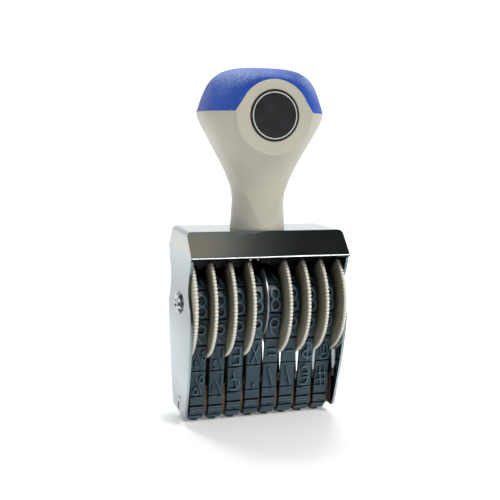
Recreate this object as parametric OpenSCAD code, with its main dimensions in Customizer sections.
// Hand stamp with eight rubber type bands, each turned by its own thumbwheel.
// X runs across the bands, the type side faces down, and the badge faces -Y.

/* [Frame] */
// Width over the two side plates
frame_w = 59.0; // [58.8:0.1:60]
// Thickness of the plated sheet
sheet_t = 0.9; // [0.8:0.1:1.0]
// Height of the top panel above the ground
top_z = 71.7; // [71:0.1:74]
// Half the depth of the flat top panel
top_half = 11.2; // [10:0.1:12]
// Half the depth at the lower edge of the slanting skirts
skirt_half = 19.2; // [18.5:0.1:20]
// Height of the skirts' lower edge
skirt_z = 63.2; // [62.5:0.1:65]
// Height of the side plates' lower edge
plate_low_z = 3.2; // [2.8:0.1:4]
// Rounding of the two long bends
bend_r = 1.5; // [1:0.1:1.8]

/* [Wheels and axle] */
// Height of the axle
axle_z = 44.4; // [44:0.1:45]
// Axle radius
axle_r = 2.5; // [2:0.1:3]
// Running clearance of the wheels on the axle
axle_gap = 0.05; // [0.02:0.01:0.1]
// Distance from one wheel to the next
wheel_pitch = 7.0; // [6.9:0.05:7.05]
// Radius over the thumb teeth
wheel_r = 20.9; // [20:0.1:21.2]
// Thickness of the thumb flange
flange_t = 1.3; // [1.1:0.1:1.4]
// Thumb teeth on each wheel
teeth = 96; // [60:4:140]
// Depth of the thumb teeth
tooth_h = 0.6; // [0.3:0.1:0.8]
// Radius of the drum that carries the band
drum_r = 10.0; // [9.6:0.1:10.1]
// Radius of the divider disc between the two middle wheels
divider_r = 15.2; // [14:0.1:16]

/* [Type bands] */
// Width of each band
band_w = 5.4; // [5:0.1:5.4]
// Thickness of the band's plain web
web_t = 0.9; // [0.8:0.1:1.2]
// Height of a character pad over the web
pad_h = 1.3; // [1.2:0.1:1.6]
// Height of the printing face over the pad
type_h = 1.0; // [0.7:0.1:1.1]
// Number of characters on each band
characters = 13; // [12:1:14]
// How far each band stands past its stop, from the first to the last
band_shift = [1.55, 1.75, 0.85, 0.65, 0.35, 0.45, 1.05, 0.75];

/* [Handle] */
// Height of the widest place, where the cap meets the body
waist_z = 113.4; // [113:0.1:115]
// Height of the whole stamp
total_z = 128.9; // [128:0.1:131]
// Half the depth between the flat front and back of the head
head_half = 17.0; // [16:0.1:18]
// Badge radius
badge_r = 8.9; // [7:0.1:9.5]
// Badge height above the ground
badge_z = 112.2; // [111:0.1:113]

/* [Hidden] */

chrome = "#c4cacb";
brass = "#b8894a";
cream = "#bdb9ac";
blue = "#465fbe";
slate = "#3a464f";
steel = "#9aa0a4";
black = "#17181b";

eps = 0.01;
half_w = frame_w / 2;
inner_w = half_w - sheet_t;
wheels = 8;
half_wheels = wheels / 2;

// places across the stamp, for wheel k of 1 to 4 counted from the middle
side_gap = 0.15;
divider_t = 0.5;
outer_flange = inner_w - side_gap - flange_t / 2;
function flange_x(k) = outer_flange - (half_wheels - k) * wheel_pitch;
function band_x(k) = flange_x(k) - wheel_pitch / 2;
// 1 to 8 from left to right: the side of the middle, and the count from it
function side_of(i) = i <= half_wheels ? -1 : 1;
function count_of(i) = i <= half_wheels ? half_wheels + 1 - i : i - half_wheels;

// band path: round the drum above and two platen corners below
drum_gap = 0.3;
corner_y = 3.0;
corner_r = 2.1;
band_in_r = drum_r + drum_gap;
web_r = band_in_r + web_t;
web_low_r = corner_r + web_t;
full_t = web_t + pad_h + type_h;
corner_z = corner_r + full_t;
path_d = norm([corner_y, axle_z - corner_z]);
lean = asin((web_r - web_low_r) / path_d) - atan(corner_y / (axle_z - corner_z));
straight = sqrt(pow(path_d, 2) - pow(web_r - web_low_r, 2));
corner_arc = web_low_r * (90 - lean) * PI / 180;
drum_arc = web_r * (180 + 2 * lean) * PI / 180;
path_len = 2 * straight + drum_arc + 2 * corner_arc + 2 * corner_y;
char_pitch = path_len / characters;

// a place on the web at distance s from the middle of its bottom, as [y, z, outward angle]
function path_at(s) =
    s < 0 ? [for (i = [0:2]) i == 0 ? -path_at(-s)[0] : i == 1 ? path_at(-s)[1] : 180 - path_at(-s)[2]] :
    s <= corner_y ? [s, corner_z - web_low_r, -90] :
    s <= corner_y + corner_arc ?
        let (a = -90 + (s - corner_y) / web_low_r * 180 / PI)
        [corner_y + web_low_r * cos(a), corner_z + web_low_r * sin(a), a] :
    s <= corner_y + corner_arc + straight ?
        let (u = s - corner_y - corner_arc)
        [corner_y + web_low_r * cos(lean) + u * sin(lean),
         corner_z - web_low_r * sin(lean) + u * cos(lean), -lean] :
        let (a = -lean + (s - corner_y - corner_arc - straight) / web_r * 180 / PI)
        [web_r * cos(a), axle_z + web_r * sin(a), a];

module frame_profile(grow) {
    // bent strip of the top panel and both skirts, seen from the side
    t = grow * sheet_t;
    slope = atan((top_z - skirt_z) / (skirt_half - top_half));
    polygon([
        [-skirt_half, skirt_z], [-top_half, top_z], [top_half, top_z], [skirt_half, skirt_z],
        [skirt_half - t * sin(slope), skirt_z - t * cos(slope)],
        [top_half - t * tan(slope / 2), top_z - t],
        [-top_half + t * tan(slope / 2), top_z - t],
        [-skirt_half + t * sin(slope), skirt_z - t * cos(slope)]
    ]);
}

// side plate, half of its outline from the top down: a scallop for the thumb, then a long taper
notch_y = skirt_half - 1.5;
notch_z = skirt_z - 1.1;
scallop_y = 14.4;
scallop_z = 51.5;
ear_y = 18.4;
ear_z = 40.0;
foot_y = 8.8;
foot_chamfer = 1.2;
taper_z = plate_low_z + foot_chamfer;
taper_power = 1.5;
curve_steps = 8;
function ease(u) = (1 - cos(180 * u)) / 2;
function mix(a, b, u) = a + (b - a) * u;
plate_half = concat(
    [[0, top_z], [top_half, top_z], [skirt_half, skirt_z]],
    [for (n = [0:curve_steps - 1])
        [mix(notch_y, scallop_y, ease(n / curve_steps)), mix(notch_z, scallop_z, n / curve_steps)]],
    [for (n = [0:curve_steps - 1])
        [mix(scallop_y, ear_y, ease(n / curve_steps)), mix(scallop_z, ear_z, n / curve_steps)]],
    [for (n = [0:curve_steps])
        [mix(ear_y, foot_y + foot_chamfer, pow(n / curve_steps, taper_power)),
         mix(ear_z, taper_z, n / curve_steps)]],
    [[foot_y, plate_low_z], [0, plate_low_z]]
);

rod_z = 7.9;
rod_r = 1.35;
slot_w = 1.5;

module side_plate() {
    rotate([90, 0, 90])
        difference() {
            linear_extrude(sheet_t)
                for (s = [1, -1])
                    polygon([for (p = plate_half) [s * p[0], p[1]]]);
            translate([0, axle_z, -eps])
                cylinder(r = axle_r, h = sheet_t + 2 * eps, $fn = 48);
            translate([0, rod_z, -eps])
                cylinder(r = rod_r, h = sheet_t + 2 * eps, $fn = 32);
            translate([-slot_w / 2, plate_low_z - 1, -eps])
                cube([slot_w, rod_z - plate_low_z + 1, sheet_t + 2 * eps]);
        }
}

// rounded corner between the top and a side plate; s is the side, from is the arc's first angle
function bend_arc(s, from) = [for (a = [from:15:from + 90])
    [s * (half_w - bend_r) + bend_r * cos(a), top_z - bend_r + bend_r * sin(a)]];

module frame() {
    color(chrome)
        difference() {
            intersection() {
                union() {
                    translate([-half_w, 0, 0])
                        side_plate();
                    translate([inner_w, 0, 0])
                        side_plate();
                    translate([-half_w, 0, 0])
                        rotate([90, 0, 90])
                            linear_extrude(frame_w)
                                frame_profile(1);
                }
                translate([0, skirt_half + 3, 0])
                    rotate([90, 0, 0])
                        linear_extrude(2 * skirt_half + 6)
                            polygon(concat([[-half_w, 0], [half_w, 0]], bend_arc(1, 0), bend_arc(-1, 90)));
            }
            translate([0, 0, top_z - 2 * sheet_t])
                cylinder(r = screw_r + 0.2, h = 3 * sheet_t, $fn = 48);
        }
}

head_r = 4.1;
head_h = 1.3;

module axle() {
    color(steel)
        rotate([0, 90, 0])
            translate([-axle_z, 0, 0]) {
                cylinder(r = axle_r, h = frame_w, center = true, $fn = 48);
                for (s = [0, 180])
                    rotate([s, 0, 0])
                        translate([0, 0, half_w])
                            rotate_extrude($fn = 48)
                                polygon([[0, 0], [head_r, 0], [head_r, 0.4], [head_r - 0.7, 1.0],
                                    [head_r - 1.6, head_h], [1.4, head_h], [0.9, 0.8], [0, 0.8]]);
            }
}

module centre_divider() {
    color(chrome)
        rotate([0, 90, 0])
            translate([-axle_z, 0, 0])
                difference() {
                    cylinder(r = divider_r, h = divider_t, center = true, $fn = 120);
                    cylinder(r = axle_r + axle_gap, h = 2 * divider_t, center = true, $fn = 48);
                }
}

// brass bar that the bands turn round, with a guide fin between each two of them
platen_gap = 0.1;
platen_half = corner_y + corner_r - platen_gap;
platen_top = 13.4;
fin_t = 0.9;
fin_out = 1.0;

module platen_section(grow) {
    r = corner_r - platen_gap + grow;
    half = platen_half + grow;
    polygon(concat(
        [[half, platen_top + grow], [-half, platen_top + grow]],
        [for (a = [180:15:270]) [-corner_y + r * cos(a), corner_z + r * sin(a)]],
        [for (a = [270:15:360]) [corner_y + r * cos(a), corner_z + r * sin(a)]]
    ));
}

module platen() {
    span = 2 * (inner_w - side_gap);
    color(brass)
        rotate([90, 0, 90])
            difference() {
                union() {
                    linear_extrude(span, center = true)
                        platen_section(0);
                    for (k = [1:half_wheels - 1])
                        for (s = [-1, 1])
                            translate([0, 0, s * flange_x(k)])
                                linear_extrude(fin_t, center = true)
                                    platen_section(fin_out);
                    linear_extrude(divider_t, center = true)
                        platen_section(fin_out);
                    for (s = [-1, 1])
                        translate([0, 0, s * (span - fin_t) / 2])
                            linear_extrude(fin_t, center = true)
                                platen_section(fin_out);
                }
                translate([0, rod_z, 0])
                    cylinder(r = rod_r, h = frame_w, center = true, $fn = 32);
            }
}

module lower_rod() {
    rod_out = 0.6;
    color(steel)
        rotate([0, 90, 0])
            translate([-rod_z, 0, 0]) {
                cylinder(r = rod_r, h = frame_w + 2 * rod_out - 0.6, center = true, $fn = 32);
                cylinder(r = rod_r - 0.3, h = frame_w + 2 * rod_out, center = true, $fn = 32);
            }
}

// one thumbwheel: toothed flange outside, drum towards the middle of the stamp
module wheel(i) {
    k = count_of(i);
    drum_end = k == 1 ? divider_t / 2 : flange_x(k - 1) + flange_t / 2;
    drum_l = flange_x(k) - drum_end - 0.1;
    root_r = wheel_r - tooth_h;
    step = 360 / teeth;
    tooth = [[0.0, 0], [0.3, 1], [0.7, 1]];
    color(cream)
        translate([side_of(i) * flange_x(k), 0, axle_z])
            rotate([0, -90 * side_of(i), 0])
                difference() {
                    union() {
                        linear_extrude(flange_t, center = true)
                            polygon([for (n = [0:teeth - 1], q = tooth, a = (n + q[0]) * step)
                                (root_r + q[1] * tooth_h) * [cos(a), sin(a)]]);
                        cylinder(r = drum_r, h = drum_l, $fn = 96);
                    }
                    translate([0, 0, -flange_t])
                        cylinder(r = axle_r + axle_gap, h = 3 * wheel_pitch, $fn = 48);
                }
}

module band_outline(out) {
    hull() {
        translate([0, axle_z])
            circle(r = band_in_r + out, $fn = 96);
        for (s = [-1, 1])
            translate([s * corner_y, corner_z])
                circle(r = corner_r + out, $fn = 48);
    }
}

// outside of the band, with the character at the printing place lying flat
module band_outside(out) {
    band_outline(out);
    translate([-print_half, full_t - out])
        square([2 * print_half, out]);
}

cut_w = 0.5;
face_inset = 0.6;
seam_w = 0.9;
print_half = 4.7;
seam_at = 4.0;
foot_at = 7.4;

// one cut square across the band, at distance s along its web
module band_cut(s, wide, from, deep) {
    p = path_at(s);
    translate([p[0], p[1]])
        rotate(p[2])
            translate([from, -wide / 2])
                square([deep, wide]);
}

// cuts between the characters, where the short blank before the printing place takes two of its own
module band_cuts(i, more, from, deep) {
    shift = band_shift[i - 1];
    blank_s = shift - 1.5 * char_pitch;
    for (n = [0:characters - 1])
        if (n != floor(characters / 2) - 1)
            band_cut(shift + (n + 1 - characters / 2) * char_pitch, cut_w + more, from, deep);
    band_cut(blank_s + seam_at, seam_w + more, from, deep);
    band_cut(blank_s + foot_at, cut_w + more, from, deep);
}

module band(i) {
    reach = pad_h + type_h + 1;
    color(slate)
        translate([side_of(i) * band_x(count_of(i)), 0, 0])
            rotate([90, 0, 90])
                difference() {
                    union() {
                        linear_extrude(band_w, center = true)
                            difference() {
                                band_outside(web_t + pad_h);
                                band_cuts(i, 0, 0, reach);
                            }
                        linear_extrude(band_w - 2 * face_inset, center = true)
                            difference() {
                                band_outside(full_t);
                                band_cuts(i, 2 * face_inset, pad_h, reach);
                                band_cuts(i, 0, 0, reach);
                            }
                    }
                    translate([0, 0, -band_w])
                        linear_extrude(2 * band_w)
                            band_outline(0);
                }
}

screw_r = 2.45;
screw_head_r = 4.4;
screw_head_h = 2.8;
washer_t = 1.0;
washer_r = 4.8;
screw_in = 22;
under_top = top_z - sheet_t;

module lock_washer() {
    color(steel)
        translate([0, 0, under_top - washer_t])
            difference() {
                cylinder(r = washer_r, h = washer_t, $fn = 48);
                translate([0, 0, -1])
                    cylinder(r = screw_r + 0.15, h = washer_t + 2, $fn = 48);
                translate([0, -0.4, -1])
                    cube([washer_r + 1, 0.8, washer_t + 2]);
            }
}

module handle_screw() {
    head_low = under_top - washer_t - screw_head_h;
    color(steel)
        difference() {
            union() {
                translate([0, 0, head_low])
                    cylinder(r = screw_head_r, h = screw_head_h, $fn = 48);
                translate([0, 0, head_low + screw_head_h])
                    cylinder(r = screw_r, h = washer_t + sheet_t + screw_in, $fn = 48);
            }
            for (a = [0, 90])
                rotate(a)
                    translate([-2.4, -0.5, head_low - 1])
                        cube([4.8, 1.0, 2.6]);
        }
}

// handle: rings of points from the neck up, with a flat front and back
// columns: height, half width, half depth of the front, width of the front surface and place of the
// crease between it and the side flank (0 middle of the front, 1 side)
body_rings = [
    [71.7, 10.4, 10.4, 2.6, 0.02],
    [75.5, 10.05, 10.1, 2.1, 0.26],
    [79.6, 9.75, 9.7, 1.7, 0.48],
    [83.5, 9.75, 9.5, 1.35, 0.67],
    [87.0, 10.4, 9.9, 1.14, 0.82],
    [91.0, 11.9, 11.3, 1.06, 0.9],
    [95.0, 13.7, 13.3, 1.03, 0.94],
    [99.0, 15.7, 15.7, 1.01, 0.97],
    [103.8, 18.25, 18.2, 1.0, 0.995],
    [108.5, 20.95, 19.4, 1.0, 0.995],
    [111.5, 22.3, 19.9, 1.0, 0.995],
    [113.4, 22.7, 20.0, 1.0, 0.995]
];
cap_rings = [
    [113.4, 22.7, 20.0, 1.0, 0.995],
    [114.6, 22.3, 19.9, 1.0, 0.995],
    [117.2, 21.4, 19.6, 1.0, 0.995],
    [119.8, 20.4, 19.1, 1.0, 0.995],
    [122.5, 19.15, 18.2, 1.0, 0.995],
    [125.0, 17.4, 16.6, 1.0, 0.995],
    [126.8, 15.2, 14.5, 1.0, 0.995],
    [128.0, 12.7, 12.1, 1.0, 0.995],
    [128.7, 9.2, 8.8, 1.0, 0.995],
    [128.9, 4.0, 3.8, 1.0, 0.995]
];
flank_steps = 4;
front_steps = 8;
quarter_steps = flank_steps + front_steps;
ring_points = 4 * quarter_steps;
power_low = 2.0;
power_high = 2.4;
power_from = 92;
power_to = 104;

function power_at(z) =
    let (u = max(0, min(1, (z - power_from) / (power_to - power_from))))
    power_low + (power_high - power_low) * u * u * (3 - 2 * u);
function oval(a, b, p, t) = pow(pow(abs(cos(t)) / a, p) + pow(abs(sin(t)) / b, p), -1 / p);
function crease_y(g) =
    let (p = power_at(g[0]))
    g[2] * pow(1 - pow(g[4] / g[3], p), 1 / p);
function crease_angle(g) = max(1, atan2(crease_y(g), g[4] * g[1]));
function quarter_angle(g, k) =
    let (edge = crease_angle(g))
    k < flank_steps ? edge * k / flank_steps : edge + (90 - edge) * (k - flank_steps) / front_steps;
function ring_angle(g, i) =
    let (q = floor(i / quarter_steps), k = i % quarter_steps)
    q % 2 == 0 ? 90 * q + quarter_angle(g, k) : 90 * (q + 1) - quarter_angle(g, quarter_steps - k);
function ring_point(g, t) =
    let (flank = crease_y(g) / sqrt(1 - g[4] * g[4]),
         r = min(oval(g[1], flank, 2, t), oval(g[1] * g[3], g[2], power_at(g[0]), t)),
         y = r * sin(t))
    [r * cos(t), max(-head_half, min(head_half, y)), g[0]];

module loft(rings) {
    n = ring_points;
    m = len(rings);
    points = concat(
        [for (g = rings, i = [0:n - 1]) ring_point(g, ring_angle(g, i))],
        [[0, 0, rings[0][0]], [0, 0, rings[m - 1][0]]]
    );
    polyhedron(points, concat(
        [for (j = [0:m - 2], i = [0:n - 1]) [j * n + i, (j + 1) * n + i, (j + 1) * n + (i + 1) % n]],
        [for (j = [0:m - 2], i = [0:n - 1]) [j * n + i, (j + 1) * n + (i + 1) % n, j * n + (i + 1) % n]],
        [for (i = [0:n - 1]) [m * n, i, (i + 1) % n]],
        [for (i = [0:n - 1]) [m * n + 1, (m - 1) * n + (i + 1) % n, (m - 1) * n + i]]
    ));
}

// arched panel in the front and back of the head: round top, legs to the waist, round bottom
arch_r = 12.95;
arch_z = 111.5;
arch_shoulder = 5.7;
arch_leg = 14.2;
arch_drop = 14.8;
arch_steps = 24;
arch_proud = 0.2;
arch_start = asin(arch_shoulder / arch_r);
arch_outline = concat(
    [for (n = [0:arch_steps]) let (a = arch_start + (180 - 2 * arch_start) * n / arch_steps)
        [arch_r * cos(a), arch_z + arch_r * sin(a)]],
    [for (n = [0:arch_steps]) let (a = 180 + 180 * n / arch_steps)
        [arch_leg * cos(a), waist_z + arch_drop * sin(a)]]
);

module arch(out) {
    translate([0, head_half + out, 0])
        rotate([90, 0, 0])
            linear_extrude(2 * (head_half + out))
                polygon(arch_outline);
}

badge_in = 0.3;
badge_t = 0.6;

module handle_body() {
    color(cream)
        difference() {
            union() {
                loft(body_rings);
                arch(arch_proud);
            }
            translate([0, 0, top_z - eps])
                cylinder(r = screw_r + 0.02, h = screw_in + 0.5, $fn = 48);
            translate([0, -head_half - arch_proud + badge_in, badge_z])
                rotate([90, 0, 0])
                    cylinder(r = badge_r, h = 2, $fn = 96);
        }
}

module handle_cap() {
    color(blue)
        difference() {
            loft(cap_rings);
            arch(1);
        }
}

module badge() {
    color(black)
        translate([0, -head_half - arch_proud + badge_in, badge_z])
            rotate([90, 0, 0])
                cylinder(r = badge_r, h = badge_t, $fn = 96);
}

frame();
axle();
centre_divider();
platen();
lower_rod();
handle_body();
handle_cap();
badge();
handle_screw();
lock_washer();
for (i = [1:wheels]) {
    wheel(i);
    band(i);
}
